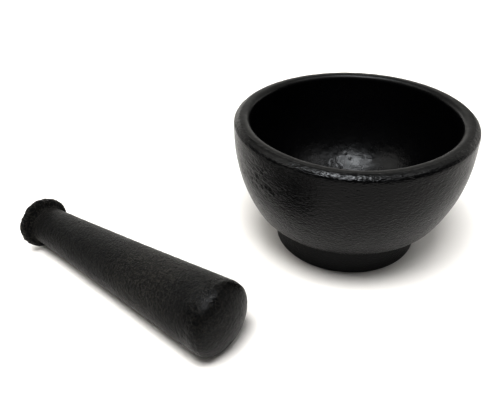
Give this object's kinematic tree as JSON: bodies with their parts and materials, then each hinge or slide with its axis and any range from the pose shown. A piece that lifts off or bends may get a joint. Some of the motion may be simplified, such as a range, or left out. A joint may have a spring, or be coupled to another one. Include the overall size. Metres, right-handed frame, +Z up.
{
  "type": "mortar and pestle",
  "caption": "Cast iron mortar and pestle: a thick-walled round bowl on a foot ring, and a tapered pestle with a flanged end lying beside it.",
  "frame": {"origin": "on the mortar's axis, in the plane of the foot ring's lower face, which is the table", "axes": "+Z up along the mortar's axis; +X along the pestle as it lies on the table, from its flange towards its grinding end; the pestle lies on the -Y side of the mortar"},
  "size_m": [0.2099, 0.2047, 0.0795],
  "materials": {
    "mortar_iron": "seasoned black cast iron, semi-gloss, with a fine pebbled casting skin and scattered pits",
    "pestle_iron": "seasoned black cast iron, satin to matt, with fine ground lines round the shaft and rougher skin on the flange"
  },
  "bodies": {
    "mortar": {"mortar": "mortar_iron"},
    "pestle": {"pestle": "pestle_iron"}
  },
  "joints": [
    {"name": "pestle_lift", "type": "slide", "parent": "mortar", "child": "pestle", "axis": [0, 0, 1], "range_m": [0, 0.12]}
  ]
}
